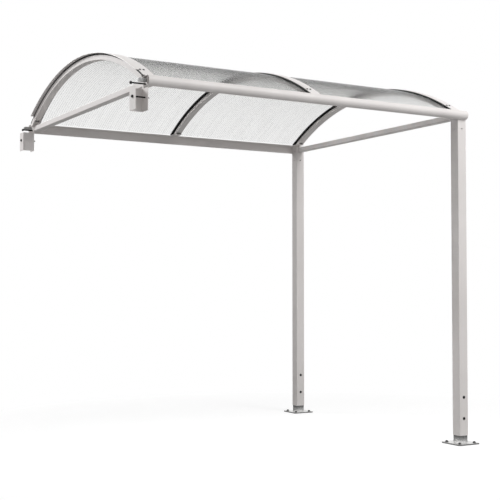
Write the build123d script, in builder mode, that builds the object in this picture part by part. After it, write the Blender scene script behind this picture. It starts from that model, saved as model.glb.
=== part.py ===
"""Extension bay of a bike shelter: two posts at one end, coupling brackets at the other, a vaulted roof.

Millimetres. The origin is under the middle of the front post's base plate.
X runs along the bay towards the posts, Y runs from the front row to the back row, Z is up.
"""
from build123d import *
from math import sqrt
import os

# The bay as a whole
post_spacing = 2180
arch_pitch = 1250
beam_underside = 2383
roof_rise = 365
arch_foot_inset = 37.2

# Fits shared by the pieces
seat = 0.2
slide_fit = 0.3
overrun = 10

# Posts, square tube
post_side = 80
post_wall = 4
post_corner = 5
post_bottom = 62
cross_hole = 12
cross_hole_drop = 67
foot_bolt_hole = 13
foot_bolt_heights = (186, 341)

# Feet: base plate with a stub that the post slides over
plate_side = 195
plate_thickness = 10
plate_corner = 8
anchor_spacing = 140
anchor_hole = 14
stub_wall = 4
stub_top = 390

# Heads on the posts
head_height = 72
head_wall = 4
tongue_fit = 1.5

# Beams: half-round nose outwards, flat inner face, ledge inwards at the top
beam_height = 68
beam_wall = 3
beam_setback = 6
ledge_depth = 60
ledge_thickness = 4

# Ties between the two rows
tie_width = 50
tie_height = 40
tie_wall = 3
tie_corner = 4
tie_drop = 20

# Brackets that clasp the neighbouring bay's posts
bracket_plate = 4
bracket_height = 143
bracket_fit = 0.5
ear_width = 20
bolt_diameter = 10
bolt_head_flats = 17
bolt_head_height = 10
bolt_tail = 12
coupling_bolt_rise = 24.5
coupling_bolt_reach = 20
front_bolt_grip = 54.5
back_bolt_grip = 32.5

# Splices: tongues that plug into the neighbouring bay's hollow heads, over the coupling bolts
splice_reach = 65
splice_height = 26
splice_thickness = 10
splice_offset = 26
splice_corner = 18

# Arches and the strips that clamp the sheets on them
arch_width = 50
arch_height = 25
arch_wall = 2.5
arch_setback = 27
edge_rise = 7
foot_slot_rise = 1.5
foot_slot_width = 34
foot_slot_height = 9
foot_slot_depth = 32
seal_height = 6
sheet_thickness = 6
sheet_grip = 10
edge_seal_width = 20
lip_width = 15
cover_overhang = 25
cover_thickness = 3
cover_back_rise = 45
shoe_width = 60
shoe_thickness = 5
shoe_margin = 8
shoe_rest = 40
trim_rise = 45

# Places worked out from the sizes above
half_post = post_side / 2
coupling_length = 2 * arch_pitch + post_side
beam_right = half_post - beam_setback
beam_left = beam_right - coupling_length
roof_crest = beam_underside + roof_rise
cross_hole_height = beam_underside - cross_hole_drop
beam_top = beam_underside + beam_height
head_top = beam_top - ledge_thickness
post_top = head_top - head_height
tie_top = beam_top - tie_drop
tie_middle = tie_top - tie_height / 2
bracket_half = half_post + bracket_fit + bracket_plate
left_tie_x = bracket_half + tie_width / 2 - coupling_length
bracket_bottom = post_top - bracket_height
coupling_bolt_height = post_top + coupling_bolt_rise
splice_bottom = tie_top - splice_height
bolt_hole = bolt_diameter + 2 * slide_fit
arch_middle = post_spacing / 2
shoe_top = beam_top + shoe_thickness
foot_level = shoe_top + seat
arch_half_span = arch_middle - arch_foot_inset
arch_rise = roof_crest - foot_level
arch_radius = (arch_half_span**2 + arch_rise**2) / (2 * arch_rise)
arch_centre_height = roof_crest - arch_radius
arch_inner_radius = arch_radius - arch_height
seal_radius = arch_radius + seal_height
sheet_radius = seal_radius + sheet_thickness
cover_radius = sheet_radius + seal_height
cover_top_radius = cover_radius + cover_thickness
arch_places = {
    "left": -arch_setback - 2 * arch_pitch,
    "middle": -arch_setback - arch_pitch,
    "right": -arch_setback,
}
rows = {"front": (0, -1), "back": (post_spacing, 1)}
bolt_grips = {"front": front_bolt_grip, "back": back_bolt_grip}

os.makedirs("parts", exist_ok=True)


def save(piece, name):
    """Labels a finished piece and writes it to its own file."""
    piece.part.label = name
    export_step(piece.part, f"parts/{name}.step")


def plane_across(row):
    """Upright plane in a post row that looks along Y."""
    return Plane((0, row, 0), x_dir=(1, 0, 0), z_dir=(0, -1, 0))


def plane_along(x, y):
    """Upright plane that looks along X, with its own X along the depth."""
    return Plane((x, y, 0), x_dir=(0, 1, 0), z_dir=(1, 0, 0))


def plane_of_arch(x):
    """Plane of an arch, with its origin at the centre of the curve."""
    return Plane((x, arch_middle, arch_centre_height), x_dir=(0, 1, 0), z_dir=(1, 0, 0))


def ring_above(inner, outer, front_level, back_level):
    """Draws the stretch of a ring that lies above one level at the front and another at the back."""
    Circle(outer)
    Circle(inner, mode=Mode.SUBTRACT)
    with Locations((0, front_level - arch_centre_height)):
        Rectangle(2 * outer, outer, align=(Align.CENTER, Align.MIN), mode=Mode.INTERSECT)
    with Locations((0, back_level - arch_centre_height)):
        Rectangle(outer, outer, align=(Align.MIN, Align.MAX), mode=Mode.SUBTRACT)


def reach_at(radius, level):
    """Half the span of a curve of this radius at a level."""
    return sqrt(radius**2 - (level - arch_centre_height) ** 2)


def make_foot(row):
    """Base plate with four anchor holes and the square stub."""
    side = post_side - 2 * post_wall - 2 * slide_fit
    bore = side - 2 * stub_wall
    with BuildPart() as foot:
        with BuildSketch(Plane((0, row, 0))):
            RectangleRounded(plate_side, plate_side, plate_corner)
            with GridLocations(anchor_spacing, anchor_spacing, 2, 2):
                Circle(anchor_hole / 2, mode=Mode.SUBTRACT)
        extrude(amount=plate_thickness)
        with BuildSketch(Plane((0, row, plate_thickness))):
            Rectangle(side, side)
            Rectangle(bore, bore, mode=Mode.SUBTRACT)
        extrude(amount=stub_top - plate_thickness)
        with BuildSketch(plane_across(row)):
            with Locations([(0, height) for height in foot_bolt_heights]):
                Circle(foot_bolt_hole / 2)
        extrude(amount=post_side, both=True, mode=Mode.SUBTRACT)
    return foot


def make_post(row):
    """Square tube with bolt holes for its foot and cross holes for the next bay."""
    bore = post_side - 2 * post_wall
    with BuildPart() as post:
        with BuildSketch(Plane((0, row, post_bottom))):
            RectangleRounded(post_side, post_side, post_corner)
            Rectangle(bore, bore, mode=Mode.SUBTRACT)
        extrude(amount=post_top - post_bottom)
        with BuildSketch(plane_across(row)):
            with Locations([(0, height) for height in foot_bolt_heights]):
                Circle(foot_bolt_hole / 2)
            with Locations((0, cross_hole_height)):
                Circle(cross_hole / 2)
        extrude(amount=post_side, both=True, mode=Mode.SUBTRACT)
        with BuildSketch(plane_along(0, row)):
            with Locations((0, cross_hole_height)):
                Circle(cross_hole / 2)
        extrude(amount=post_side, both=True, mode=Mode.SUBTRACT)
    return post


def make_head(row, outward):
    """Hollow box on the post, with a slot on its free side for the next bay's tongue."""
    bore = post_side - 2 * head_wall
    with BuildPart() as head:
        with BuildSketch(Plane((0, row, post_top))):
            RectangleRounded(post_side, post_side, post_corner)
        extrude(amount=head_height)
        with BuildSketch(Plane((0, row, post_top))):
            Rectangle(bore, bore)
        extrude(amount=head_height - head_wall, mode=Mode.SUBTRACT)
        with BuildSketch(plane_along(0, row)):
            with Locations((0, coupling_bolt_height)):
                Circle(cross_hole / 2)
        extrude(amount=post_side, both=True, mode=Mode.SUBTRACT)
        with BuildSketch(plane_along(0, row)):
            with Locations((outward * splice_offset, splice_bottom - tongue_fit)):
                width = splice_thickness + 2 * tongue_fit
                height = splice_height + 2 * tongue_fit
                Rectangle(width, height, align=(Align.CENTER, Align.MIN))
        extrude(amount=post_side, mode=Mode.SUBTRACT)
    return head


def plane_of_beam(x, row, outward):
    """Section plane of a beam: its own X points outwards from the flat inner face."""
    place = (x, row + outward * half_post, beam_underside)
    return Plane(place, x_dir=(0, outward, 0), z_dir=(outward, 0, 0))


def make_beam(row, outward):
    """Hollow half-round beam with the ledge that carries the roof's lower edge."""
    nose = beam_height / 2
    cavity = nose - beam_wall
    chord = sqrt(cavity**2 - beam_wall**2)
    with BuildPart() as beam:
        with BuildSketch(plane_of_beam((beam_left + beam_right) / 2, row, outward)):
            with BuildLine():
                ThreePointArc((0, 0), (nose, nose), (0, beam_height))
                Polyline(
                    (0, beam_height),
                    (-ledge_depth, beam_height),
                    (-ledge_depth, beam_height - ledge_thickness),
                    (0, beam_height - ledge_thickness),
                    (0, 0),
                )
            make_face()
            with BuildLine():
                ThreePointArc((beam_wall, nose - chord), (cavity, nose), (beam_wall, nose + chord))
                Line((beam_wall, nose + chord), (beam_wall, nose - chord))
            make_face(mode=Mode.SUBTRACT)
        extrude(amount=coupling_length / 2, both=True)
    return beam


def make_splice(row, outward):
    """Flat tongue on the side of the left tie, with its free upper corner rounded."""
    root = bracket_half - coupling_length
    tip = root - splice_reach
    with BuildPart() as splice:
        with BuildSketch(plane_across(row + outward * splice_offset)):
            with BuildLine():
                CenterArc((tip + splice_corner, tie_top - splice_corner), splice_corner, 90, 90)
                Polyline(
                    (tip, tie_top - splice_corner),
                    (tip, splice_bottom),
                    (root, splice_bottom),
                    (root, tie_top),
                    (tip + splice_corner, tie_top),
                )
            make_face()
        extrude(amount=splice_thickness / 2, both=True)
    return splice


def make_tie(x, first, last):
    """Rectangular tube along the depth between two faces."""
    with BuildPart() as tie:
        section = Plane((x, (first + last) / 2, tie_middle), x_dir=(1, 0, 0), z_dir=(0, -1, 0))
        with BuildSketch(section):
            RectangleRounded(tie_width, tie_height, tie_corner)
            Rectangle(tie_width - 2 * tie_wall, tie_height - 2 * tie_wall, mode=Mode.SUBTRACT)
        extrude(amount=(last - first) / 2, both=True)
    return tie


def make_bracket(row, outward):
    """Channel round the neighbour's post, open outwards, with an ear up along the tie."""
    clear = post_side + 2 * bracket_fit
    plan = Plane((-coupling_length, row, bracket_bottom), x_dir=(outward, 0, 0), z_dir=(0, 0, 1))
    ear_top = tie_top - bracket_bottom
    with BuildPart() as bracket:
        with BuildSketch(plan):
            with Locations((0, half_post)):
                Rectangle(2 * bracket_half, half_post + bracket_half, align=(Align.CENTER, Align.MAX))
            with Locations((0, half_post)):
                opening = half_post + half_post + bracket_fit
                Rectangle(clear, opening, align=(Align.CENTER, Align.MAX), mode=Mode.SUBTRACT)
        extrude(amount=bracket_height)
        with BuildSketch(plan):
            with Locations((outward * (bracket_half - bracket_plate / 2), -bracket_half)):
                Rectangle(bracket_plate, ear_width, align=(Align.CENTER, Align.MIN))
        extrude(amount=ear_top)
        with BuildSketch(plane_along(-coupling_length, row)):
            with Locations((0, cross_hole_height)):
                Circle(bolt_hole / 2)
        extrude(amount=post_side, both=True, mode=Mode.SUBTRACT)
    return bracket


def make_bolt(row, height, first, last, nut_face):
    """Hexagon bolt along X, with a nut where it has a face to pull against."""
    with BuildPart() as bolt:
        with BuildSketch(Plane((first, row, height), x_dir=(0, 1, 0), z_dir=(1, 0, 0))):
            Circle(bolt_diameter / 2)
        extrude(amount=last - first)
        with BuildSketch(Plane((first, row, height), x_dir=(0, 1, 0), z_dir=(-1, 0, 0))):
            RegularPolygon(bolt_head_flats / 2, 6, major_radius=False)
        extrude(amount=bolt_head_height)
        if nut_face is not None:
            with BuildSketch(Plane((nut_face, row, height), x_dir=(0, 1, 0), z_dir=(1, 0, 0))):
                RegularPolygon(bolt_head_flats / 2, 6, major_radius=False)
            extrude(amount=bolt_head_height)
    return bolt


def make_arch(x, edge):
    """Bent rectangular tube, cut level at both feet, with a raised edge on its outer side if it ends the bay."""
    with BuildPart() as arch:
        with BuildSketch(plane_of_arch(x)):
            ring_above(arch_inner_radius, arch_radius, foot_level, foot_level)
        extrude(amount=arch_width / 2, both=True)
        with BuildSketch(plane_of_arch(x)):
            Circle(arch_radius - arch_wall)
            Circle(arch_inner_radius + arch_wall, mode=Mode.SUBTRACT)
            with Locations((0, foot_level - overrun - arch_centre_height)):
                Rectangle(2 * arch_radius, arch_radius, align=(Align.CENTER, Align.MIN), mode=Mode.INTERSECT)
        extrude(amount=arch_width / 2 - arch_wall, both=True, mode=Mode.SUBTRACT)
        slot_level = foot_level + foot_slot_rise
        reach = reach_at(arch_inner_radius + arch_wall, slot_level + foot_slot_height / 2)
        with BuildSketch(Plane((x, arch_middle, slot_level))):
            with GridLocations(arch_width, 2 * reach, 1, 2):
                Rectangle(foot_slot_width, foot_slot_depth)
        extrude(amount=foot_slot_height, mode=Mode.SUBTRACT)
        if edge:
            with BuildSketch(plane_of_arch(x + edge * (arch_width - edge_seal_width) / 2)):
                ring_above(arch_radius - arch_wall, arch_radius + edge_rise, foot_level, foot_level)
            extrude(amount=edge_seal_width / 2, both=True)
    return arch


def make_band(first, last, inner, outer, front_level=foot_level, back_level=foot_level):
    """Bent strip between two places along the bay."""
    with BuildPart() as band:
        with BuildSketch(plane_of_arch((first + last) / 2)):
            ring_above(inner, outer, front_level, back_level)
        extrude(amount=(last - first) / 2, both=True)
    return band


def make_grooved_seal(first, last):
    """Block of rubber beside a strip's edge, with a groove that holds the edge of the sheet on its left."""
    with BuildPart() as seal:
        add(make_band(first, last, arch_radius + seat, cover_radius).part)
        with BuildSketch(plane_of_arch(first)):
            Circle(sheet_radius + seat)
            Circle(seal_radius, mode=Mode.SUBTRACT)
        extrude(amount=sheet_grip + seat, mode=Mode.SUBTRACT)
    return seal


def make_shoe(x, row, outward):
    """Flat plate on the ledge that carries the foot of an arch."""
    inside = reach_at(arch_inner_radius, foot_level) - shoe_margin
    outside = post_spacing / 2 + half_post - ledge_depth + shoe_rest
    with BuildPart() as shoe:
        with BuildSketch(Plane((x, arch_middle + outward * (inside + outside) / 2, beam_top))):
            Rectangle(shoe_width, outside - inside)
        extrude(amount=shoe_thickness)
    return shoe


def make_block(x, outward):
    """Block on the left tie that carries the foot of an arch and goes on in its curve."""
    side = Align.MIN if outward > 0 else Align.MAX
    with BuildPart() as block:
        with BuildSketch(plane_of_arch(x)):
            Circle(arch_radius)
            Circle(arch_inner_radius, mode=Mode.SUBTRACT)
            with Locations((0, tie_top - arch_centre_height)):
                Rectangle(arch_radius, shoe_top - tie_top, align=(side, Align.MIN), mode=Mode.INTERSECT)
        extrude(amount=arch_width / 2, both=True)
    return block


# Pieces that each row has
for row_name, (row, outward) in rows.items():
    save(make_foot(row), f"{row_name}_foot")
    save(make_post(row), f"{row_name}_post")
    save(make_head(row, outward), f"{row_name}_post_head")
    save(make_beam(row, outward), f"{row_name}_beam")
    save(make_splice(row, outward), f"{row_name}_splice")
    save(make_bracket(row, outward), f"{row_name}_bracket")
    left_face = -coupling_length - bracket_half
    right_face = bracket_half - coupling_length
    clamp_end = right_face + bolt_head_height + bolt_tail
    clamp = make_bolt(row, cross_hole_height, left_face, clamp_end, right_face)
    save(clamp, f"{row_name}_clamp_bolt")
    coupling_end = right_face + coupling_bolt_reach
    coupling_start = -coupling_length - bolt_grips[row_name]
    coupling = make_bolt(row, coupling_bolt_height, coupling_start, coupling_end, None)
    save(coupling, f"{row_name}_coupling_bolt")

# Ties: the right one between the heads, the left one between the beams and drilled for the bolts
save(make_tie(0, half_post, post_spacing - half_post), "right_tie")
with BuildPart() as left_tie:
    add(make_tie(left_tie_x, -half_post, post_spacing + half_post).part)
    with BuildSketch(Plane((left_tie_x, 0, coupling_bolt_height), x_dir=(0, 1, 0), z_dir=(-1, 0, 0))):
        with Locations((0, 0), (post_spacing, 0)):
            Circle(bolt_hole / 2)
    extrude(amount=tie_width, mode=Mode.SUBTRACT)
save(left_tie, "left_tie")

# Arches, with the shoes or blocks that carry their feet
half_arch = arch_width / 2
strip_reach = half_arch + cover_overhang
left_x, middle_x, right_x = arch_places.values()
save(make_arch(left_x, -1), "left_arch")
save(make_arch(middle_x, 0), "middle_arch")
save(make_arch(right_x, 1), "right_arch")
for row_name, (row, outward) in rows.items():
    save(make_block(left_x, outward), f"left_{row_name}_shoe")
    save(make_shoe(middle_x, row, outward), f"middle_{row_name}_shoe")
    save(make_shoe(right_x, row, outward), f"right_{row_name}_shoe")

# Cover strips over the sheets' edges, flush with the left side of each arch
covers = {
    "left": (left_x - half_arch, left_x + strip_reach),
    "middle": (middle_x - half_arch, middle_x + strip_reach),
    "right": (right_x - half_arch, right_x + half_arch),
}
for side, (first, last) in covers.items():
    back_level = foot_level + cover_back_rise
    cover = make_band(first, last, cover_radius + seat, cover_top_radius, back_level=back_level)
    save(cover, f"{side}_cover_strip")

# Edge trims: strips beside the end covers that stand out past the arches, the left one clear of both feet
trim_level = foot_level + trim_rise
trims = {
    "left": (left_x - strip_reach, left_x - half_arch - seat, trim_level),
    "right": (right_x + half_arch + seat, right_x + strip_reach, foot_level),
}
for side, (first, last, front_level) in trims.items():
    trim = make_band(first, last, cover_radius + seat, cover_top_radius, front_level, trim_level)
    save(trim, f"{side}_edge_trim")

# Seals on the arches: under the sheets, and as packing under the right strip, which has no sheet
end_seal = half_arch - edge_seal_width
lower_seals = {
    "left": (left_x - end_seal, left_x + half_arch, seal_radius),
    "middle": (middle_x - end_seal + seat, middle_x + half_arch, seal_radius),
    "right": (right_x - end_seal + seat, right_x + end_seal, cover_radius),
}
for side, (first, last, top) in lower_seals.items():
    save(make_band(first, last, arch_radius + seat, top), f"{side}_lower_seal")

# Seals that close the outer edge of the two end arches, between arch and cover strip
edge_seals = {
    "left": (left_x - half_arch, left_x - end_seal - seat),
    "right": (right_x + end_seal + seat, right_x + half_arch),
}
for side, (first, last) in edge_seals.items():
    save(make_band(first, last, arch_radius + edge_rise + seat, cover_radius), f"{side}_edge_seal")

# Seals above the sheets, under the free edges of the cover strips
upper_seals = {
    "left_upper_seal": left_x + strip_reach,
    "middle_upper_seal_right": middle_x + strip_reach,
}
for name, last in upper_seals.items():
    save(make_band(last - lip_width, last, sheet_radius + seat, cover_radius), name)

# Grooved seals, flush with the left side of the middle and right arches
grooved_seals = {"middle_upper_seal_left": middle_x, "right_upper_seal": right_x}
for name, x in grooved_seals.items():
    save(make_grooved_seal(x - half_arch, x - end_seal), name)

# Roof sheets, from the seal on one arch into the groove at the next
sheets = {
    "left_sheet": (left_x - end_seal, middle_x - half_arch + sheet_grip),
    "right_sheet": (middle_x - end_seal + seat, right_x - half_arch + sheet_grip),
}
for name, (first, last) in sheets.items():
    save(make_band(first, last, seal_radius + seat, sheet_radius), name)
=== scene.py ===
"""Dresses the extension bay of a bike shelter: finishes, glazing, gaskets, fixings and the studio.

Metres, in the frame of the solids. X runs along the bay, Y from the front row to the back row, Z is up.
"""

import logging
import math
from dataclasses import dataclass
from enum import Enum

import bmesh
import bpy
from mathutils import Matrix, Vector


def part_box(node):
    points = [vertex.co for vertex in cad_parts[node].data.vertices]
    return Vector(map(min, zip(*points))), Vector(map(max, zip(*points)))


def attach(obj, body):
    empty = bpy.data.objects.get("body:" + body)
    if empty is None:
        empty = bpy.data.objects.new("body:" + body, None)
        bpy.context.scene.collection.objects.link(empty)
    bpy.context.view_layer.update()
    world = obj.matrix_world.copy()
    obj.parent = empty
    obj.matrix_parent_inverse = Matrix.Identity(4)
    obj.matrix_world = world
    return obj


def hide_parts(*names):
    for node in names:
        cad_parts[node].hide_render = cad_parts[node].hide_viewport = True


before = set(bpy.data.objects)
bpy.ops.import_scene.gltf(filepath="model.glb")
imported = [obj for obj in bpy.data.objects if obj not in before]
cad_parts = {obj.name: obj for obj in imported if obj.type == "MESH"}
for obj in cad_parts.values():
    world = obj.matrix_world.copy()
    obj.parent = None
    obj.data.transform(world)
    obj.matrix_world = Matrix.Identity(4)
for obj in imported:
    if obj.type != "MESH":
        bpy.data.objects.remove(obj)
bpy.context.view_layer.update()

LOG = logging.getLogger("shelter")
BODY = "root"
SHEET_DEPTH = 0.0058
STRIP_DEPTH = 0.0028
SMOOTH_DEG = 30.0
HEX_SIDES = 6
HEX_FACE_SHARE = 0.97
MIX_AMOUNT = 0
MIX_FIRST = 6
MIX_SECOND = 7
MIX_COLOUR = 2
WHITE = (1.0, 1.0, 1.0, 1.0)

Socket = bpy.types.NodeSocket
Triple = tuple[float, float, float]
Colour = Triple
Range = tuple[float, float]
Section = list[tuple[float, float]]


class Row(Enum):
    """The two rows of posts."""

    FRONT = "front"
    BACK = "back"


class Side(Enum):
    """The three arches, counted along the bay."""

    LEFT = "left"
    MIDDLE = "middle"
    RIGHT = "right"


@dataclass(frozen=True)
class Grain:
    """Soft noise in a finish: features per metre, octaves and a factor along each axis."""

    scale: float
    detail: float
    stretch: Triple = (1.0, 1.0, 1.0)


@dataclass(frozen=True)
class PaintedShade:
    """A painted shade that is full at one level and gone at another."""

    full: float
    gone: float
    share: float


class ShaderTree:
    """A material's nodes round one principled shader, all on Object coordinates."""

    def __init__(self, name: str) -> None:
        """Makes the material.

        Args:
            name: Name of the material.
        """
        self.material = bpy.data.materials.new(name)
        self.material.use_nodes = True
        self.nodes = self.material.node_tree.nodes
        self.links = self.material.node_tree.links
        self.shader = self.nodes["Principled BSDF"]
        self.place = self.nodes.new("ShaderNodeTexCoord").outputs["Object"]

    def set(self, **values: float) -> None:
        """Sets constants on the shader's own sockets, with spaces for underscores."""
        for socket, value in values.items():
            self.shader.inputs[socket.replace("_", " ").title().replace("Ior", "IOR")].default_value = value

    def stretched(self, scale: Vector) -> Socket:
        """Coordinates scaled along each axis.

        Args:
            scale: Factor along each axis.

        Returns:
            The scaled coordinates.
        """
        mapping = self.nodes.new("ShaderNodeMapping")
        mapping.inputs["Scale"].default_value = scale
        self.links.new(self.place, mapping.inputs["Vector"])
        return mapping.outputs["Vector"]

    def noise(self, grain: Grain) -> Socket:
        """Soft noise.

        Args:
            grain: Its settings.

        Returns:
            The noise's value.
        """
        node = self.nodes.new("ShaderNodeTexNoise")
        node.inputs["Scale"].default_value = grain.scale
        node.inputs["Detail"].default_value = grain.detail
        self.links.new(self.stretched(Vector(grain.stretch)), node.inputs["Vector"])
        return node.outputs["Fac"]

    def cells(self, scale: float) -> tuple[Socket, Socket]:
        """Crystal cells.

        Args:
            scale: Cells per metre.

        Returns:
            The cells' random colour and the distance to their middles.
        """
        node = self.nodes.new("ShaderNodeTexVoronoi")
        node.inputs["Scale"].default_value = scale
        self.links.new(self.place, node.inputs["Vector"])
        return node.outputs["Color"], node.outputs["Distance"]

    def height(self, low: float, high: float) -> Socket:
        """A value that falls from 1 to 0 between two levels.

        Args:
            low: Level where it is 1.
            high: Level where it is 0.

        Returns:
            The falling value.
        """
        split = self.nodes.new("ShaderNodeSeparateXYZ")
        self.links.new(self.place, split.inputs["Vector"])
        return self.between(split.outputs["Z"], 1.0, 0.0, low, high)

    def between(
        self, value: Socket, low: float, high: float, first: float = 0.3, last: float = 0.7
    ) -> Socket:
        """Maps a value to a range.

        Args:
            value: The value.
            low: Result at first.
            high: Result at last.
            first: Value that gives low.
            last: Value that gives high.

        Returns:
            The mapped value.
        """
        node = self.nodes.new("ShaderNodeMapRange")
        for name, number in {"From Min": first, "From Max": last, "To Min": low, "To Max": high}.items():
            node.inputs[name].default_value = number
        self.links.new(value, node.inputs["Value"])
        return node.outputs["Result"]

    def times(self, first: Socket, second: Socket) -> Socket:
        """The product of two values.

        Args:
            first: One value.
            second: The other value.

        Returns:
            Their product.
        """
        node = self.nodes.new("ShaderNodeMath")
        node.operation = "MULTIPLY"
        self.links.new(first, node.inputs[0])
        self.links.new(second, node.inputs[1])
        return node.outputs["Value"]

    def ramp(self, value: Socket, stops: Range, low: Colour, high: Colour) -> Socket:
        """Colours a value.

        Args:
            value: The value.
            stops: The values that give the two colours.
            low: Colour at the first stop.
            high: Colour at the second stop.

        Returns:
            The colour.
        """
        node = self.nodes.new("ShaderNodeValToRGB")
        for element, position, colour in zip(node.color_ramp.elements, stops, (low, high)):
            element.position = position
            element.color = (*colour, 1.0)
        self.links.new(value, node.inputs["Fac"])
        return node.outputs["Color"]

    def stained_and_shaded(self, colour: Socket, stain_and_shade_amount: Socket, stain_and_shade: Colour) -> Socket:
        """Lays a second colour over a colour: real dust on the posts, painted shade on the zinc foot.

        Args:
            colour: The clean colour.
            stain_and_shade_amount: How much of the second colour shows.
            stain_and_shade: The colour of the dust, or of the painted shade.

        Returns:
            The colour with the second colour laid over it.
        """
        node = self.nodes.new("ShaderNodeMix")
        node.data_type = "RGBA"
        node.inputs[MIX_SECOND].default_value = (*stain_and_shade, 1.0)
        self.links.new(stain_and_shade_amount, node.inputs[MIX_AMOUNT])
        self.links.new(colour, node.inputs[MIX_FIRST])
        return node.outputs[MIX_COLOUR]

    def feed(self, socket: str, value: Socket) -> None:
        """Links a value to one of the shader's sockets."""
        self.links.new(value, self.shader.inputs[socket])

    def bump(self, height: Socket, depth: float, strength: float) -> None:
        """Raises the surface by a value.

        Args:
            height: The value.
            depth: Depth of the relief in metres.
            strength: Share of the relief that shows.
        """
        node = self.nodes.new("ShaderNodeBump")
        node.inputs["Distance"].default_value = depth
        node.inputs["Strength"].default_value = strength
        self.links.new(height, node.inputs["Height"])
        self.feed("Normal", node.outputs["Normal"])


@dataclass(frozen=True)
class PowderCoat:
    """Satin powder coat with orange peel, faint clouding and dust low on the posts."""

    name: str
    clean: Colour = (0.79, 0.755, 0.74)
    clouded: Colour = (0.73, 0.695, 0.68)
    clouds: Grain = Grain(3.2, 5.0, (1.0, 1.0, 0.45))
    cloud_stops: Range = (0.32, 0.62)
    dust: Colour = (0.45, 0.425, 0.4)
    dust_top: float = 0.45
    dust_share: float = 0.16
    streaks: Grain = Grain(22.0, 4.0, (1.0, 1.0, 0.12))
    satin: Grain = Grain(34.0, 5.0)
    roughness: Range = (0.4, 0.54)
    shine: float = 0.4
    peel: Grain = Grain(520.0, 2.0)
    peel_depth: float = 0.0005
    peel_strength: float = 0.12

    def material(self) -> bpy.types.Material:
        """Makes the material.

        Returns:
            The material.
        """
        tree = ShaderTree(self.name)
        colour = tree.ramp(tree.noise(self.clouds), self.cloud_stops, self.clouded, self.clean)
        streaks = tree.between(tree.noise(self.streaks), 0.0, self.dust_share)
        low = tree.times(tree.height(0.0, self.dust_top), streaks)
        tree.feed("Base Color", tree.stained_and_shaded(colour, low, self.dust))
        tree.feed("Roughness", tree.between(tree.noise(self.satin), *self.roughness))
        tree.set(specular_ior_level=self.shine)
        tree.bump(tree.noise(self.peel), self.peel_depth, self.peel_strength)
        return tree.material


@dataclass(frozen=True)
class Galvanised:
    """Hot-dip zinc with spangle and dull patches, with painted shade at the levels where it has some."""

    name: str
    bright: Colour = (0.86, 0.855, 0.85)
    dull: Colour = (0.52, 0.515, 0.51)
    tones: Range = (0.3, 0.95)
    # Colour of the painted shade.
    stain_and_shade: Colour = (0.13, 0.13, 0.13)
    painted_shades: tuple[PaintedShade, ...] = ()
    metallic: float = 0.9
    roughness: Range = (0.34, 0.2)
    patches: Grain = Grain(14.0, 5.0)
    patch_share: float = 0.6
    spangle_scale: float = 85.0
    spangle_share: float = 0.55
    spangle_depth: float = 0.0003
    spangle_strength: float = 0.1

    def material(self) -> bpy.types.Material:
        """Makes the material.

        Returns:
            The material.
        """
        tree = ShaderTree(self.name)
        spangle, rim = tree.cells(self.spangle_scale)
        patches = tree.between(tree.noise(self.patches), self.patch_share, 1.0)
        mixed = tree.times(tree.between(spangle, self.spangle_share, 1.0, 0.0, 1.0), patches)
        colour = tree.ramp(mixed, self.tones, self.dull, self.bright)
        # Painted shade: each one darkens the zinc between its two levels.
        for stain_and_shade in self.painted_shades:
            stain_and_shade_amount = tree.between(tree.height(stain_and_shade.full, stain_and_shade.gone), 0.0, stain_and_shade.share, 0.0, 1.0)
            colour = tree.stained_and_shaded(colour, stain_and_shade_amount, self.stain_and_shade)
        tree.feed("Base Color", colour)
        tree.feed("Roughness", tree.between(mixed, *self.roughness, self.tones[0], 1.0))
        tree.set(metallic=self.metallic)
        tree.bump(rim, self.spangle_depth, self.spangle_strength)
        return tree.material


@dataclass(frozen=True)
class BlackSteel:
    """Black coated bolts, worn a little where a spanner sat."""

    name: str
    black: Colour = (0.006, 0.006, 0.0065)
    worn: Colour = (0.035, 0.034, 0.033)
    wear: Grain = Grain(160.0, 6.0)
    wear_stops: Range = (0.5, 0.78)
    polish: Grain = Grain(90.0, 4.0)
    roughness: Range = (0.34, 0.55)
    metallic: float = 0.1
    shine: float = 0.25
    pits: Grain = Grain(900.0, 2.0)
    pit_depth: float = 0.0003
    pit_strength: float = 0.15

    def material(self) -> bpy.types.Material:
        """Makes the material.

        Returns:
            The material.
        """
        tree = ShaderTree(self.name)
        tree.feed("Base Color", tree.ramp(tree.noise(self.wear), self.wear_stops, self.black, self.worn))
        tree.feed("Roughness", tree.between(tree.noise(self.polish), *self.roughness))
        tree.set(metallic=self.metallic, specular_ior_level=self.shine)
        tree.bump(tree.noise(self.pits), self.pit_depth, self.pit_strength)
        return tree.material


@dataclass(frozen=True)
class Rubber:
    """Matt black rubber with a bloom of dust."""

    name: str
    black: Colour = (0.006, 0.006, 0.0065)
    bloom: Colour = (0.025, 0.024, 0.023)
    dusting: Grain = Grain(18.0, 6.0)
    dust_stops: Range = (0.5, 0.8)
    polish: Grain = Grain(60.0, 4.0)
    roughness: Range = (0.6, 0.82)
    shine: float = 0.25
    skin: Grain = Grain(420.0, 3.0)
    skin_depth: float = 0.0004
    skin_strength: float = 0.2

    def material(self) -> bpy.types.Material:
        """Makes the material.

        Returns:
            The material.
        """
        tree = ShaderTree(self.name)
        dusted = tree.ramp(tree.noise(self.dusting), self.dust_stops, self.black, self.bloom)
        tree.feed("Base Color", dusted)
        tree.feed("Roughness", tree.between(tree.noise(self.polish), *self.roughness))
        tree.set(specular_ior_level=self.shine)
        tree.bump(tree.noise(self.skin), self.skin_depth, self.skin_strength)
        return tree.material


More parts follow.
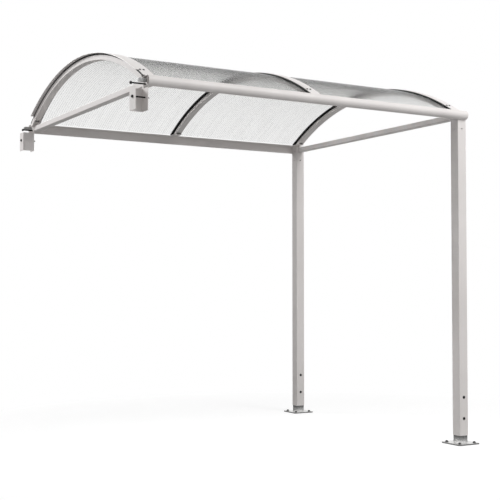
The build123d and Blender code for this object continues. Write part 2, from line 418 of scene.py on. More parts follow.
@dataclass(frozen=True)
class Polycarbonate:
    """Milky translucent plastic with drawn lines along the arch, darker where it is looked along."""

    name: str
    clear: Colour = (0.99, 0.99, 0.988)
    milky: Colour = (0.965, 0.965, 0.963)
    drawn: Grain = Grain(9.0, 5.0, (5.0, 0.25, 0.25))
    drawn_stops: Range = (0.3, 0.7)
    transmission: float = 0.985
    haze: Grain = Grain(26.0, 4.0)
    roughness: Range = (0.12, 0.18)
    refraction: float = 1.015
    shine: float = 0.1
    ripple: Grain = Grain(60.0, 3.0, (6.0, 0.2, 0.2))
    ripple_depth: float = 0.0001
    ripple_strength: float = 0.05
    tint: Colour = (0.32, 0.32, 0.315)
    absorption: float = 56.0

    def material(self) -> bpy.types.Material:
        """Makes the material.

        Returns:
            The material.
        """
        tree = ShaderTree(self.name)
        tree.feed("Base Color", tree.ramp(tree.noise(self.drawn), self.drawn_stops, self.milky, self.clear))
        tree.feed("Roughness", tree.between(tree.noise(self.haze), *self.roughness))
        tree.set(transmission_weight=self.transmission, ior=self.refraction, specular_ior_level=self.shine)
        tree.bump(tree.noise(self.ripple), self.ripple_depth, self.ripple_strength)
        inside = tree.nodes.new("ShaderNodeVolumeAbsorption")
        inside.inputs["Color"].default_value = (*self.tint, 1.0)
        inside.inputs["Density"].default_value = self.absorption
        tree.links.new(inside.outputs[0], tree.nodes["Material Output"].inputs["Volume"])
        return tree.material


class Finishes:
    """The bay's finishes, each made once."""

    def __init__(self) -> None:
        """Makes the materials."""
        self.coat = PowderCoat("coated_steel").material()
        self.strip = PowderCoat(
            "coated_strip", clean=(0.82, 0.79, 0.775), clouded=(0.77, 0.74, 0.725), dust_share=0.05
        ).material()
        # Painted shade on the zinc foot: the stub darker up under the post, the base plate darker at its
        # edges.
        painted_shade_under_post = PaintedShade(full=0.056, gone=0.022, share=0.85)
        painted_shade_on_plate_edge = PaintedShade(full=0.005, gone=0.0095, share=0.8)
        self.zinc = Galvanised("galvanised_steel", painted_shades=(painted_shade_under_post, painted_shade_on_plate_edge)).material()
        self.black = BlackSteel("black_bolt").material()
        self.rubber = Rubber("rubber_seal").material()
        self.glazing = Polycarbonate("roof_sheet").material()
        self.ribs = Polycarbonate("sheet_ribs", absorption=260.0).material()
        self.worn_zinc = Galvanised(
            "worn_zinc",
            bright=(0.56, 0.56, 0.56),
            dull=(0.26, 0.26, 0.26),
            metallic=0.35,
            roughness=(0.6, 0.45),
        ).material()
        self.dark_zinc = Galvanised(
            "dark_zinc",
            bright=(0.16, 0.158, 0.155),
            dull=(0.06, 0.06, 0.06),
            metallic=0.5,
            roughness=(0.6, 0.42),
        ).material()


def dress(name: str, material: bpy.types.Material) -> None:
    """Gives a carried-over node its material.

    Args:
        name: Name of the node.
        material: The finish.
    """
    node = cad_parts[name]
    node.data.materials.clear()
    node.data.materials.append(material)
    LOG.info("dressed %s", name)


def finished(piece: bpy.types.Object, replaced: tuple[str, ...] = ()) -> None:
    """Puts a new piece on the body.

    Args:
        piece: The new piece.
        replaced: Nodes that the piece stands for.
    """
    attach(piece, BODY)
    if replaced:
        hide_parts(*replaced)
    LOG.info("made %s, %d faces", piece.name, len(piece.data.polygons))


def shaped(name: str, mesh: bmesh.types.BMesh, material: bpy.types.Material) -> bpy.types.Object:
    """Turns a finished mesh into an object of the scene, with its flat edges shaded smooth.

    Args:
        name: Name of the object.
        mesh: The mesh, which is freed.
        material: The finish.

    Returns:
        The object.
    """
    bmesh.ops.recalc_face_normals(mesh, faces=mesh.faces)
    data = bpy.data.meshes.new(name)
    mesh.to_mesh(data)
    mesh.free()
    data.materials.append(material)
    data.shade_smooth()
    data.set_sharp_from_angle(angle=math.radians(SMOOTH_DEG))
    piece = bpy.data.objects.new(name, data)
    bpy.context.scene.collection.objects.link(piece)
    return piece


@dataclass(frozen=True)
class ArchCurve:
    """The circle that the whole roof follows."""

    middle: float
    centre: float
    steps: int = 72

    @classmethod
    def of_bay(cls) -> "ArchCurve":
        """Reads the circle from the middle arch's solid.

        Returns:
            The circle.
        """
        low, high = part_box("middle_arch")
        half = (high.y - low.y) / 2
        rise = high.z - low.z
        radius = (half**2 + rise**2) / (2 * rise)
        return cls(middle=(low.y + high.y) / 2, centre=high.z - radius)

    def place(self, x: float, turn: float, radius: float) -> Vector:
        """The point at a place along the bay, an angle from the crest towards the back and a radius."""
        return Vector((x, self.middle + radius * math.sin(turn), self.centre + radius * math.cos(turn)))

    def turn_at(self, radius: float, level: float) -> float:
        """Angle from the crest at which a radius comes down to a level."""
        return math.acos((level - self.centre) / radius)

    def sweep(self, section: Section, front: float, back: float) -> bmesh.types.BMesh:
        """Bends a section along the roof.

        Args:
            section: Corners of the section as place along the bay and radius.
            front: Level where it stops at the front.
            back: Level where it stops at the back.

        Returns:
            The bent and closed mesh.
        """
        mesh = bmesh.new()
        rings = []
        for step in range(self.steps + 1):
            share = step / self.steps
            ring = []
            for x, radius in section:
                first, last = -self.turn_at(radius, front), self.turn_at(radius, back)
                ring.append(mesh.verts.new(self.place(x, first + share * (last - first), radius)))
            rings.append(ring)
        count = len(section)
        for near, far in zip(rings, rings[1:]):
            for corner in range(count):
                after = (corner + 1) % count
                mesh.faces.new((near[corner], near[after], far[after], far[corner]))
        mesh.faces.new(rings[0])
        mesh.faces.new(rings[-1])
        return mesh


class MeshTree:
    """A geometry node tree with named inputs."""

    def __init__(self, name: str) -> None:
        """Makes the tree with its geometry sockets.

        Args:
            name: Name of the tree.
        """
        self.tree = bpy.data.node_groups.new(name, "GeometryNodeTree")
        self.tree.interface.new_socket("Geometry", in_out="OUTPUT", socket_type="NodeSocketGeometry")
        self.tree.interface.new_socket("Geometry", in_out="INPUT", socket_type="NodeSocketGeometry")
        self.start = self.tree.nodes.new("NodeGroupInput")
        self.end = self.tree.nodes.new("NodeGroupOutput")
        self.keys: dict[str, str] = {}

    def input(self, name: str, kind: str) -> Socket:
        """Adds a named input.

        Args:
            name: Name of the input.
            kind: Type of its socket.

        Returns:
            The socket to link from.
        """
        socket = self.tree.interface.new_socket(name, in_out="INPUT", socket_type=kind)
        self.keys[name] = socket.identifier
        return self.start.outputs[name]

    def node(
        self, kind: str, sockets: dict[str | int, object] | None = None, **settings: object
    ) -> bpy.types.Node:
        """Adds a node.

        Args:
            kind: Type of the node.
            sockets: What goes into its sockets, a link's source or a constant.
            settings: Properties of the node.

        Returns:
            The node.
        """
        made = self.tree.nodes.new(kind)
        for name, value in settings.items():
            setattr(made, name, value)
        for key, value in (sockets or {}).items():
            if isinstance(value, Socket):
                self.tree.links.new(value, made.inputs[key])
            else:
                made.inputs[key].default_value = value
        return made

    def math(self, operation: str, first: object, second: object = 0.0) -> Socket:
        """Works out one step of a sum."""
        return self.node("ShaderNodeMath", {0: first, 1: second}, operation=operation).outputs[0]

    def slab(self, width: Socket, length: Socket, depth: Socket, steps: Socket) -> Socket:
        """A flat slab, cut across its length so that it can bend.

        Args:
            width: Its size along X.
            length: Its size along Y.
            depth: Its size along Z.
            steps: Rows of corners along its length.

        Returns:
            The slab.
        """
        size = self.node("ShaderNodeCombineXYZ", {0: width, 1: length, 2: depth}).outputs[0]
        sockets = {"Size": size, "Vertices X": 2, "Vertices Y": steps, "Vertices Z": 2}
        return self.node("GeometryNodeMeshCube", sockets).outputs["Mesh"]

    def real(self, geometry: Socket) -> Socket:
        """Turns instances into geometry of their own."""
        return self.node("GeometryNodeRealizeInstances", {0: geometry}).outputs[0]

    def dressed(self, geometry: Socket, material: Socket) -> Socket:
        """Gives geometry its material."""
        sockets = {"Geometry": geometry, "Material": material}
        return self.node("GeometryNodeSetMaterial", sockets).outputs[0]

    def close(self, geometry: Socket) -> None:
        """Ends the tree with real geometry."""
        self.tree.links.new(self.real(geometry), self.end.inputs[0])

    def settle(self, name: str, source: bpy.types.Mesh, **values: object) -> bpy.types.Object:
        """Runs the tree on a mesh and keeps the result as a plain mesh.

        Args:
            name: Name of the piece.
            source: The mesh that the tree starts from.
            values: The named inputs, with underscores for spaces.

        Returns:
            The piece.
        """
        piece = bpy.data.objects.new(name, source)
        bpy.context.scene.collection.objects.link(piece)
        modifier = piece.modifiers.new(name, "NODES")
        modifier.node_group = self.tree
        for key, value in values.items():
            modifier[self.keys[key.replace("_", " ")]] = value
        graph = bpy.context.evaluated_depsgraph_get()
        result = bpy.data.meshes.new_from_object(piece.evaluated_get(graph))
        piece.modifiers.remove(modifier)
        piece.data = result
        result.name = name
        bpy.data.meshes.remove(source)
        return piece


@dataclass
class TwinWallSheet:
    """A twin-wall sheet: two skins joined by ribs, made flat and bent over the arches."""

    node: str
    curve: ArchCurve
    finish: bpy.types.Material
    rib_finish: bpy.types.Material
    thickness: float = SHEET_DEPTH
    skin: float = 0.0006
    rib_pitch: float = 0.018
    overlap: float = 0.00005
    steps: int = 73

    def tree(self) -> MeshTree:
        """Builds the tree that makes the flat sheet and bends it.

        Returns:
            The tree.
        """
        tree = MeshTree("twin_wall_sheet")
        width, length = tree.input("Width", "NodeSocketFloat"), tree.input("Length", "NodeSocketFloat")
        depth, skin = tree.input("Depth", "NodeSocketFloat"), tree.input("Skin", "NodeSocketFloat")
        ribs, steps = tree.input("Ribs", "NodeSocketInt"), tree.input("Steps", "NodeSocketInt")
        radius, shift = tree.input("Radius", "NodeSocketFloat"), tree.input("Shift", "NodeSocketVector")
        material = tree.input("Material", "NodeSocketMaterial")
        rib_material = tree.input("Rib Material", "NodeSocketMaterial")

        level = tree.math("MULTIPLY", tree.math("SUBTRACT", depth, skin), 0.5)
        flat = tree.slab(width, length, skin, steps)
        skins = []
        for sign in (1.0, -1.0):
            lift = tree.node("ShaderNodeCombineXYZ", {2: tree.math("MULTIPLY", level, sign)}).outputs[0]
            moved = tree.node("GeometryNodeTransform", {"Geometry": flat, "Translation": lift})
            skins.append(tree.dressed(moved.outputs[0], material))

        both_skins = tree.math("MULTIPLY", skin, 2.0)
        gap = tree.math("ADD", tree.math("SUBTRACT", depth, both_skins), 2 * self.overlap)
        rib = tree.slab(skin, length, gap, steps)
        spread = tree.math("SUBTRACT", width, skin)
        first = tree.node("ShaderNodeCombineXYZ", {0: tree.math("MULTIPLY", spread, -0.5)}).outputs[0]
        pitch = tree.math("DIVIDE", spread, tree.math("SUBTRACT", ribs, 1.0))
        offset = tree.node("ShaderNodeCombineXYZ", {0: pitch}).outputs[0]
        sockets = {"Count": ribs, "Start Location": first, "Offset": offset}
        line = tree.node("GeometryNodeMeshLine", sockets)
        row = tree.node("GeometryNodeInstanceOnPoints", {"Points": line.outputs[0], "Instance": rib})
        wall = tree.dressed(tree.real(row.outputs[0]), rib_material)
        joined = tree.node("GeometryNodeJoinGeometry")
        for part in (wall, *skins):
            tree.tree.links.new(part, joined.inputs[0])

        place = tree.node("GeometryNodeInputPosition").outputs[0]
        split = tree.node("ShaderNodeSeparateXYZ", {0: place})
        turn = tree.math("DIVIDE", split.outputs["Y"], radius)
        reach = tree.math("ADD", radius, split.outputs["Z"])
        bent = tree.node(
            "ShaderNodeCombineXYZ",
            {
                0: split.outputs["X"],
                1: tree.math("MULTIPLY", reach, tree.math("SINE", turn)),
                2: tree.math("MULTIPLY", reach, tree.math("COSINE", turn)),
            },
        ).outputs[0]
        bend = tree.node("GeometryNodeSetPosition", {"Geometry": joined.outputs[0], "Position": bent})
        moved = tree.node("GeometryNodeTransform", {"Geometry": bend.outputs[0], "Translation": shift})
        tree.close(moved.outputs[0])
        return tree

    def build(self) -> None:
        """Makes the sheet in place of its plain solid."""
        low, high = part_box(self.node)
        outer = high.z - self.curve.centre
        middle = outer - self.thickness / 2
        half_turn = self.curve.turn_at(outer - self.thickness, low.z)
        width = high.x - low.x
        piece = self.tree().settle(
            f"{self.node}_twin_wall",
            bpy.data.meshes.new("flat"),
            Width=width,
            Length=2 * half_turn * middle,
            Depth=self.thickness,
            Skin=self.skin,
            Ribs=round(width / self.rib_pitch) + 1,
            Steps=self.steps,
            Radius=middle,
            Shift=((low.x + high.x) / 2, self.curve.middle, self.curve.centre),
            Material=self.finish,
            Rib_Material=self.rib_finish,
        )
        finished(piece, (self.node,))


@dataclass
class Fixings:
    """One kind of fastener, set on any number of points along their axes."""

    name: str
    slot: str
    finish: bpy.types.Material
    shape: bmesh.types.BMesh
    places: list[tuple[Vector, Vector]]

    def tree(self) -> MeshTree:
        """Builds the tree that sets the fastener on the points.

        Returns:
            The tree.
        """
        tree = MeshTree("set_fasteners")
        fastener = tree.input("Fastener", "NodeSocketObject")
        material = tree.input("Material", "NodeSocketMaterial")
        shape = tree.node("GeometryNodeObjectInfo", {"Object": fastener}).outputs["Geometry"]
        axis = tree.node("GeometryNodeInputNamedAttribute", {"Name": "axis"}, data_type="FLOAT_VECTOR")
        turn = tree.node("FunctionNodeAlignRotationToVector", {"Vector": axis.outputs[0]}, axis="Z")
        row = tree.node(
            "GeometryNodeInstanceOnPoints",
            {"Points": tree.start.outputs["Geometry"], "Instance": shape, "Rotation": turn.outputs[0]},
        )
        tree.close(tree.dressed(tree.real(row.outputs[0]), material))
        return tree

    def build(self) -> None:
        """Sets all the fasteners as one piece."""
        points = bpy.data.meshes.new("points")
        points.from_pydata([tuple(place) for place, _ in self.places], [], [])
        axes = points.attributes.new("axis", "FLOAT_VECTOR", "POINT")
        for slot, (_, axis) in zip(axes.data, self.places):
            slot.vector = axis
        fastener = shaped("fastener", self.shape, self.finish)
        piece = self.tree().settle(self.name, points, Fastener=fastener, Material=self.finish)
        shape = fastener.data
        bpy.data.objects.remove(fastener)
        bpy.data.meshes.remove(shape)
        finished(piece)


def lathe(mesh: bmesh.types.BMesh, profile: Section, sides: int) -> None:
    """Turns a profile about Z into a closed solid.

    Args:
        mesh: The mesh to add to.
        profile: Radius and height of its corners, from one pole to the other.
        sides: Number of sides.
    """
    turns = [2 * math.pi * side / sides for side in range(sides)]
    rings = []
    for radius, height in profile:
        if radius == 0:
            rings.append([mesh.verts.new((0.0, 0.0, height))])
            continue
        corners = [(radius * math.cos(turn), radius * math.sin(turn), height) for turn in turns]
        rings.append([mesh.verts.new(corner) for corner in corners])
    for low, high in zip(rings, rings[1:]):
        for side in range(sides):
            after = (side + 1) % sides
            near = [low[side % len(low)], low[after % len(low)]]
            far = [high[after % len(high)], high[side % len(high)]]
            mesh.faces.new(list(dict.fromkeys(near + far)))


def washer(mesh: bmesh.types.BMesh, radius: float, bottom: float, top: float, sides: int) -> None:
    """Adds a washer as a plain disc between two levels, because its hole is covered."""
    lathe(mesh, [(0.0, bottom), (radius, bottom), (radius, top), (0.0, top)], sides)


def hexagon(mesh: bmesh.types.BMesh, flats: float, bottom: float, top: float, chamfer: float) -> None:
    """Adds a hexagonal prism with chamfered ends.

    Args:
        mesh: The mesh to add to.
        flats: Width across flats.
        bottom: Its lower level.
        top: Its upper level.
        chamfer: Height of the chamfer.
    """
    corner = flats / math.sqrt(3)
    inner = flats / 2 * HEX_FACE_SHARE
    profile = [(0.0, bottom), (inner, bottom), (corner, bottom + chamfer)]
    profile += [(corner, top - chamfer), (inner, top), (0.0, top)]
    lathe(mesh, profile, HEX_SIDES)


@dataclass(frozen=True)
class Thread:
    """A threaded shank, with the shares of its radius that are left at the roots and at the tip."""

    radius: float
    pitch: float
    root_share: float
    tip_share: float
    sides: int

    def add(self, mesh: bmesh.types.BMesh, start: float, end: float) -> None:
        """Adds the shank.

        Args:
            mesh: The mesh to add to.
            start: Level where it starts.
            end: Level of its tip.
        """
        profile: Section = [(0.0, start)]
        for turn in range(int((end - start) / self.pitch)):
            level = start + turn * self.pitch
            profile += [(self.radius, level), (self.root_share * self.radius, level + self.pitch / 2)]
        lathe(mesh, [*profile, (self.tip_share * self.radius, end), (0.0, end)], self.sides)


@dataclass(frozen=True)
class PanHead:
    """A domed screw head on a thin washer, with a round socket in it."""

    radius: float
    height: float
    washer_share: float = 1.25
    plate_share: float = 0.2
    dome_turns: tuple[float, ...] = (0.4, 0.8, 1.15)
    socket_share: float = 0.4
    socket_floor_share: float = 0.55
    sides: int = 16

    def shape(self) -> bmesh.types.BMesh:
        """Makes the head.

        Returns:
            The mesh, which stands on z = 0.
        """
        mesh = bmesh.new()
        plate = self.plate_share * self.height
        washer(mesh, self.washer_share * self.radius, 0.0, plate, self.sides)
        dome = [(0.0, plate), (self.radius, plate)]
        for turn in self.dome_turns:
            dome.append((self.radius * math.cos(turn), plate + (self.height - plate) * math.sin(turn)))
        socket = self.socket_share * self.radius
        floor = self.socket_floor_share * self.height
        lathe(mesh, [*dome, (socket, self.height), (socket, floor), (0.0, floor)], self.sides)
        return mesh


@dataclass
class ThreadedBolt:
    """A bolt along X: a domed hexagon head, a washer, a thread and, where its solid has one, a nut."""

    node: str
    finish: bpy.types.Material
    nut_top: float | None = None
    nut_chamfer: float = 0.001
    flats: float = 0.017
    head_height: float = 0.01
    dome_share: float = 0.35
    dome_rim_share: float = 0.48
    dome_degrees: tuple[float, ...] = (65.0, 40.0, 15.0)
    thread: Thread = Thread(radius=0.005, pitch=0.0015, root_share=0.86, tip_share=0.86, sides=14)
    washer_radius: float = 0.0105
    washer_height: float = 0.0015
    washer_sides: int = 20

    def shape(self, length: float) -> bmesh.types.BMesh:
        """Makes the bolt along Z, with its head's top at zero.

        Args:
            length: Length over all.

        Returns:
            The mesh.
        """
        mesh = bmesh.new()
        dome = self.dome_share * self.head_height
        rim = self.dome_rim_share * self.flats
        head: Section = [(0.0, 0.0)]
        for angle in map(math.radians, self.dome_degrees):
            head.append((rim * math.cos(angle), dome * (1 - math.sin(angle))))
        corner = self.flats / math.sqrt(3)
        head += [(corner, dome), (corner, self.head_height), (0.0, self.head_height)]
        lathe(mesh, head, HEX_SIDES)
        seat = self.head_height + self.washer_height
        washer(mesh, self.washer_radius, self.head_height, seat, self.washer_sides)
        self.thread.add(mesh, self.head_height, length)
        if self.nut_top is not None:
            hexagon(mesh, self.flats, self.nut_top - self.head_height, self.nut_top, self.nut_chamfer)
        return mesh

    def build(self) -> None:
        """Sets the bolt where its plain solid is."""
        low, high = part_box(self.node)
        mesh = self.shape(high.x - low.x)
        place = Vector((low.x, (low.y + high.y) / 2, (low.z + high.z) / 2))
        for vert in mesh.verts:
            vert.co = place + Vector((vert.co.z, vert.co.x, vert.co.y))
        piece = shaped(f"{self.node}_threaded", mesh, self.finish)
        finished(piece, (self.node,))


@dataclass
class PostFoot:
    """A post with its foot and head, its anchor nuts and the bolts that hold it on the stub."""

    row: Row
    finishes: Finishes
    anchor_reach: float = 0.07
    plate_top: float = 0.01
    nut_flats: float = 0.019
    nut_height: float = 0.0065
    nut_chamfer: float = 0.0012
    washer_radius: float = 0.0125
    washer_height: float = 0.002
    washer_sides: int = 24
    stud: Thread = Thread(radius=0.006, pitch=0.00175, root_share=0.88, tip_share=0.8, sides=16)
    stud_height: float = 0.0115
    stud_sunk: float = 0.001
    bolt: PanHead = PanHead(radius=0.0092, height=0.0052)
    bolt_levels: Range = (0.186, 0.341)

    def dress(self) -> None:
        """Gives the three solids their finishes."""
        dress(f"{self.row.value}_foot", self.finishes.zinc)
        dress(f"{self.row.value}_post", self.finishes.coat)
        dress(f"{self.row.value}_post_head", self.finishes.coat)

    def anchor_nut(self) -> bmesh.types.BMesh:
        """Makes a nut on its washer, with the end of the stud and its thread.

        Returns:
            The mesh, which stands on z = 0.
        """
        mesh = bmesh.new()
        washer(mesh, self.washer_radius, 0.0, self.washer_height, self.washer_sides)
        top = self.washer_height + self.nut_height
        hexagon(mesh, self.nut_flats, self.washer_height, top, self.nut_chamfer)
        self.stud.add(mesh, top - self.stud_sunk, self.stud_height)
        return mesh

    def build(self) -> None:
        """Sets the anchor nuts and the foot's bolts."""
        row = self.row.value
        low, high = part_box(f"{row}_post")
        middle = (low + high) / 2
        up = Vector((0.0, 0.0, 1.0))
        anchors = []
        for across in (-self.anchor_reach, self.anchor_reach):
            for along in (-self.anchor_reach, self.anchor_reach):
                anchors.append((Vector((middle.x + across, middle.y + along, self.plate_top)), up))
        nut = self.anchor_nut()
        Fixings(f"{row}_anchor_nuts", "galvanised_steel", self.finishes.dark_zinc, nut, anchors).build()
        bolts = []
        for y, sign in ((low.y, -1.0), (high.y, 1.0)):
            for level in self.bolt_levels:
                bolts.append((Vector((middle.x, y, level)), Vector((0.0, sign, 0.0))))
        head = self.bolt.shape()
        Fixings(f"{row}_foot_bolts", "black_bolt", self.finishes.black, head, bolts).build()


@dataclass
class Eaves:
    """One row's beam with its splice, bracket and bolts at the coupling end."""

    row: Row
    finishes: Finishes
    clamp_nut_top: float = 0.109

    def dress(self) -> None:
        """Gives the row's solids their finishes."""
        dress(f"{self.row.value}_beam", self.finishes.coat)
        dress(f"{self.row.value}_bracket", self.finishes.coat)
        dress(f"{self.row.value}_splice", self.finishes.worn_zinc)

    def build(self) -> None:
        """Makes the bolts."""
        ThreadedBolt(f"{self.row.value}_clamp_bolt", self.finishes.black, self.clamp_nut_top).build()
        ThreadedBolt(f"{self.row.value}_coupling_bolt", self.finishes.black).build()


@dataclass
class Glazing:
    """One arch with its shoes, cover strip, seals, edge strip and screws."""

    side: Side
    curve: ArchCurve
    finishes: Finishes
    lip: float = 0.0022
    skirt: float = 0.015
    roll: float = 0.002
    bevel_share: float = 0.25
    groove_fit: float = 0.0002
    screw: PanHead = PanHead(radius=0.0066, height=0.0045)
    screw_spread: float = 0.0125
    screw_turn: float = math.radians(29.3)
    back_screw_shift: float = math.radians(1.4)

    def dress(self) -> None:
        """Gives the solids that stay their finishes."""
        side = self.side.value
        dress(f"{side}_arch", self.finishes.coat)
        dress(f"{side}_cover_strip", self.finishes.strip)
        dress(f"{side}_lower_seal", self.finishes.rubber)
        for row in Row:
            dress(f"{side}_{row.value}_shoe", self.finishes.coat)
        if self.side is not Side.MIDDLE:
            dress(f"{side}_edge_seal", self.finishes.rubber)
        if self.side is not Side.RIGHT:
            upper = "left_upper_seal" if self.side is Side.LEFT else "middle_upper_seal_right"
            dress(upper, self.finishes.rubber)

    def grooved_gasket(self, node: str, sheet: str) -> None:
        """Makes the gasket that takes the edge of the sheet on its left, with a soft lip over it.

        Args:
            node: The plain seal that it stands for.
            sheet: The sheet that it holds.
        """
        low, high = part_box(node)
        sheet_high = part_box(sheet)[1]
        top = high.z - self.curve.centre
        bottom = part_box(f"{self.side.value}_lower_seal")[0].z
        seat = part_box("middle_arch")[1].z - self.curve.centre + self.groove_fit
        sheet_top = sheet_high.z - self.curve.centre + self.groove_fit
        sheet_bottom = sheet_top - SHEET_DEPTH - 2 * self.groove_fit
        groove = sheet_high.x + self.groove_fit
        left, right = low.x, high.x
        half = self.lip / 2
        section: Section = [
            (right, seat),
            (right, top),
            (left, top),
            (left - self.skirt + self.lip, top),
            (left - self.skirt, top - self.lip),
            (left - self.skirt, sheet_top),
            (groove, sheet_top),
            (groove, sheet_bottom),
            (left + half, sheet_bottom),
            (left, sheet_bottom - half),
            (left, seat + half),
            (left + half, seat),
        ]
        mesh = self.curve.sweep(section, bottom, bottom)
        piece = shaped(node.replace("seal", "gasket"), mesh, self.finishes.rubber)
        finished(piece, (node,))

    def edge_strip(self) -> None:
        """Makes the strip that stands out past an end arch, with its free edge rolled over."""
        node = f"{self.side.value}_edge_trim"
        low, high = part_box(node)
        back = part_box("left_edge_trim")[0].z
        top = high.z - self.curve.centre
        bottom = top - STRIP_DEPTH
        free, inner = (low.x, high.x) if self.side is Side.LEFT else (high.x, low.x)
        inward = 1 if inner > free else -1
        bevel = self.bevel_share * self.roll
        section: Section = [
            (inner, bottom),
            (inner, top),
            (free + inward * self.roll, top),
            (free + inward * bevel, top - bevel),
            (free, top - self.roll),
            (free + inward * bevel, bottom),
        ]
        mesh = self.curve.sweep(section, low.z, back)
        piece = shaped(f"{self.side.value}_edge_strip", mesh, self.finishes.strip)
        finished(piece, (node,))

    def screws(self) -> None:
        """Sets the pairs of screws that hold the strip near its ends."""
        side = self.side.value
        arch_low, arch_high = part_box(f"{side}_arch")
        middle = (arch_low.x + arch_high.x) / 2
        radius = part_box(f"{side}_cover_strip")[1].z - self.curve.centre
        places = []
        for turn in (-self.screw_turn, self.screw_turn - self.back_screw_shift):
            axis = Vector((0.0, math.sin(turn), math.cos(turn)))
            for shift in (-self.screw_spread, self.screw_spread):
                places.append((self.curve.place(middle + shift, turn, radius), axis))
        head = self.screw.shape()
        Fixings(f"{side}_strip_screws", "black_bolt", self.finishes.black, head, places).build()

    def build(self) -> None:
        """Makes the gasket and the edge strip, where the arch has them, and the screws."""
        if self.side is Side.MIDDLE:
            self.grooved_gasket("middle_upper_seal_left", "left_sheet")
        elif self.side is Side.RIGHT:
            self.grooved_gasket("right_upper_seal", "right_sheet")
        if self.side is not Side.MIDDLE:
            self.edge_strip()
        self.screws()


@dataclass(frozen=True)
class Lamp:
    """A soft square lamp, with its power in watts and the angle that its light fans out over."""

    name: str
    place: Triple
    target: Triple
    size: float
    power: float
    spread_deg: float

    def build(self) -> None:
        """Hangs the lamp in its place and points it at its target."""
        data = bpy.data.lights.new(self.name, "AREA")
        data.size = self.size
        data.energy = self.power
        data.spread = math.radians(self.spread_deg)
        lamp = bpy.data.objects.new(self.name, data)
        lamp.location = self.place
        aim = Vector(self.target) - Vector(self.place)
        lamp.rotation_euler = aim.to_track_quat("-Z", "Y").to_euler()
        bpy.context.scene.collection.objects.link(lamp)


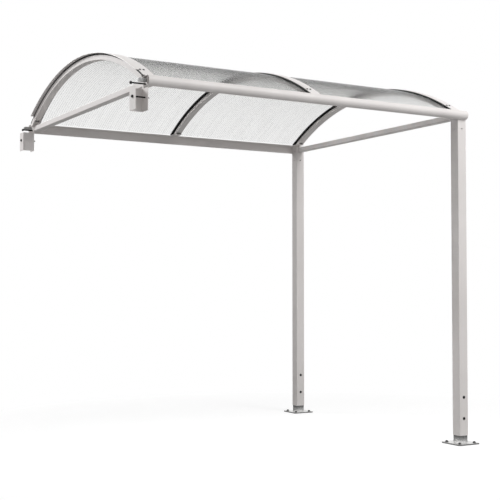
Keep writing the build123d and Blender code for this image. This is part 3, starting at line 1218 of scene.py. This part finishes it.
@dataclass
class Studio:
    """The camera at the photograph's angle, soft lamps and a white floor."""

    eye: Triple = (-5.13278, -5.71224, 1.15065)
    pitch: float = 0.0359246
    yaw: float = 0.5294156
    lens: float = 73.325
    sensor: float = 36.0
    farthest: float = 200.0
    lamps: tuple[Lamp, ...] = (
        Lamp("front", (1.4, -4.8, 6.2), (-0.6, 0.4, 1.7), size=3.6, power=320.0, spread_deg=180.0),
        Lamp("back left", (-5.6, 6.0, 5.7), (-2.6, 1.0, 2.4), size=2.2, power=36.0, spread_deg=50.0),
    )
    ambient: float = 0.43
    floor_colour: Colour = (0.45, 0.45, 0.45)
    floor_roughness: float = 0.9
    floor_glow: float = 0.66
    floor_size: float = 60.0
    floor_cells: int = 8
    floor_level: float = -0.0008
    floor_middle: Triple = (-0.6, 1.0, 0.0)
    floor_fade: Range = (1.2, 3.2)

    def camera(self) -> None:
        """Sets the camera where the photograph's camera stood."""
        data = bpy.data.cameras.new("camera")
        data.lens = self.lens
        data.sensor_width = self.sensor
        data.clip_end = self.farthest
        camera = bpy.data.objects.new("camera", data)
        camera.location = self.eye
        camera.rotation_euler = (math.pi / 2 + self.pitch, 0.0, -self.yaw)
        bpy.context.scene.collection.objects.link(camera)
        bpy.context.scene.camera = camera

    def world(self) -> None:
        """Lights the bay evenly and shows white behind it, in reflections and through the sheets."""
        world = bpy.data.worlds.new("studio")
        world.use_nodes = True
        nodes, links = world.node_tree.nodes, world.node_tree.links
        soft = nodes["Background"]
        soft.inputs["Color"].default_value = WHITE
        soft.inputs["Strength"].default_value = self.ambient
        white = nodes.new("ShaderNodeBackground")
        white.inputs["Color"].default_value = WHITE
        path = nodes.new("ShaderNodeLightPath")
        seen = path.outputs["Is Camera Ray"]
        for kind in ("Is Glossy Ray", "Is Transmission Ray"):
            most = nodes.new("ShaderNodeMath")
            most.operation = "MAXIMUM"
            links.new(seen, most.inputs[0])
            links.new(path.outputs[kind], most.inputs[1])
            seen = most.outputs[0]
        mix = nodes.new("ShaderNodeMixShader")
        links.new(seen, mix.inputs[0])
        links.new(soft.outputs[0], mix.inputs[1])
        links.new(white.outputs[0], mix.inputs[2])
        links.new(mix.outputs[0], nodes["World Output"].inputs["Surface"])
        bpy.context.scene.world = world

    def floor(self) -> None:
        """Lays the white floor, which keeps the bay's shadow."""
        mesh = bmesh.new()
        cells = self.floor_cells
        bmesh.ops.create_grid(mesh, x_segments=cells, y_segments=cells, size=self.floor_size / 2)
        bmesh.ops.translate(mesh, verts=mesh.verts, vec=(0.0, 0.0, self.floor_level))
        tree = ShaderTree("floor")
        tree.shader.inputs["Base Color"].default_value = (*self.floor_colour, 1.0)
        tree.set(roughness=self.floor_roughness, specular_ior_level=0.0)
        nodes, links = tree.nodes, tree.links
        glow = nodes.new("ShaderNodeEmission")
        path = nodes.new("ShaderNodeLightPath")
        strength = nodes.new("ShaderNodeMath")
        strength.operation = "MULTIPLY"
        strength.inputs[1].default_value = self.floor_glow
        links.new(path.outputs["Is Camera Ray"], strength.inputs[0])
        links.new(strength.outputs[0], glow.inputs["Strength"])
        both = nodes.new("ShaderNodeAddShader")
        links.new(tree.shader.outputs[0], both.inputs[0])
        links.new(glow.outputs[0], both.inputs[1])
        distance = nodes.new("ShaderNodeVectorMath")
        distance.operation = "DISTANCE"
        distance.inputs[1].default_value = self.floor_middle
        links.new(tree.place, distance.inputs[0])
        far = tree.between(distance.outputs["Value"], 0.0, 1.0, *self.floor_fade)
        white = nodes.new("ShaderNodeEmission")
        mix = nodes.new("ShaderNodeMixShader")
        links.new(tree.times(far, path.outputs["Is Camera Ray"]), mix.inputs[0])
        links.new(both.outputs[0], mix.inputs[1])
        links.new(white.outputs[0], mix.inputs[2])
        links.new(mix.outputs[0], nodes["Material Output"].inputs["Surface"])
        shaped("floor", mesh, tree.material)

    def build(self) -> None:
        """Sets up the whole studio."""
        self.camera()
        self.world()
        self.floor()
        for lamp in self.lamps:
            lamp.build()
        bpy.context.scene.view_settings.view_transform = "Standard"


def main() -> None:
    """Builds and dresses the bay, piece by piece."""
    logging.basicConfig(level=logging.INFO, format="%(name)s: %(message)s")
    Studio().build()
    finishes = Finishes()
    curve = ArchCurve.of_bay()
    for row in Row:
        post = PostFoot(row, finishes)
        post.dress()
        post.build()
        eaves = Eaves(row, finishes)
        eaves.dress()
        eaves.build()
    for node in ("left_tie", "right_tie"):
        dress(node, finishes.coat)
    for side in Side:
        glazing = Glazing(side, curve, finishes)
        glazing.dress()
        glazing.build()
    for node in ("left_sheet", "right_sheet"):
        TwinWallSheet(node, curve, finishes.glazing, finishes.ribs).build()


if __name__ == "__main__":
    main()
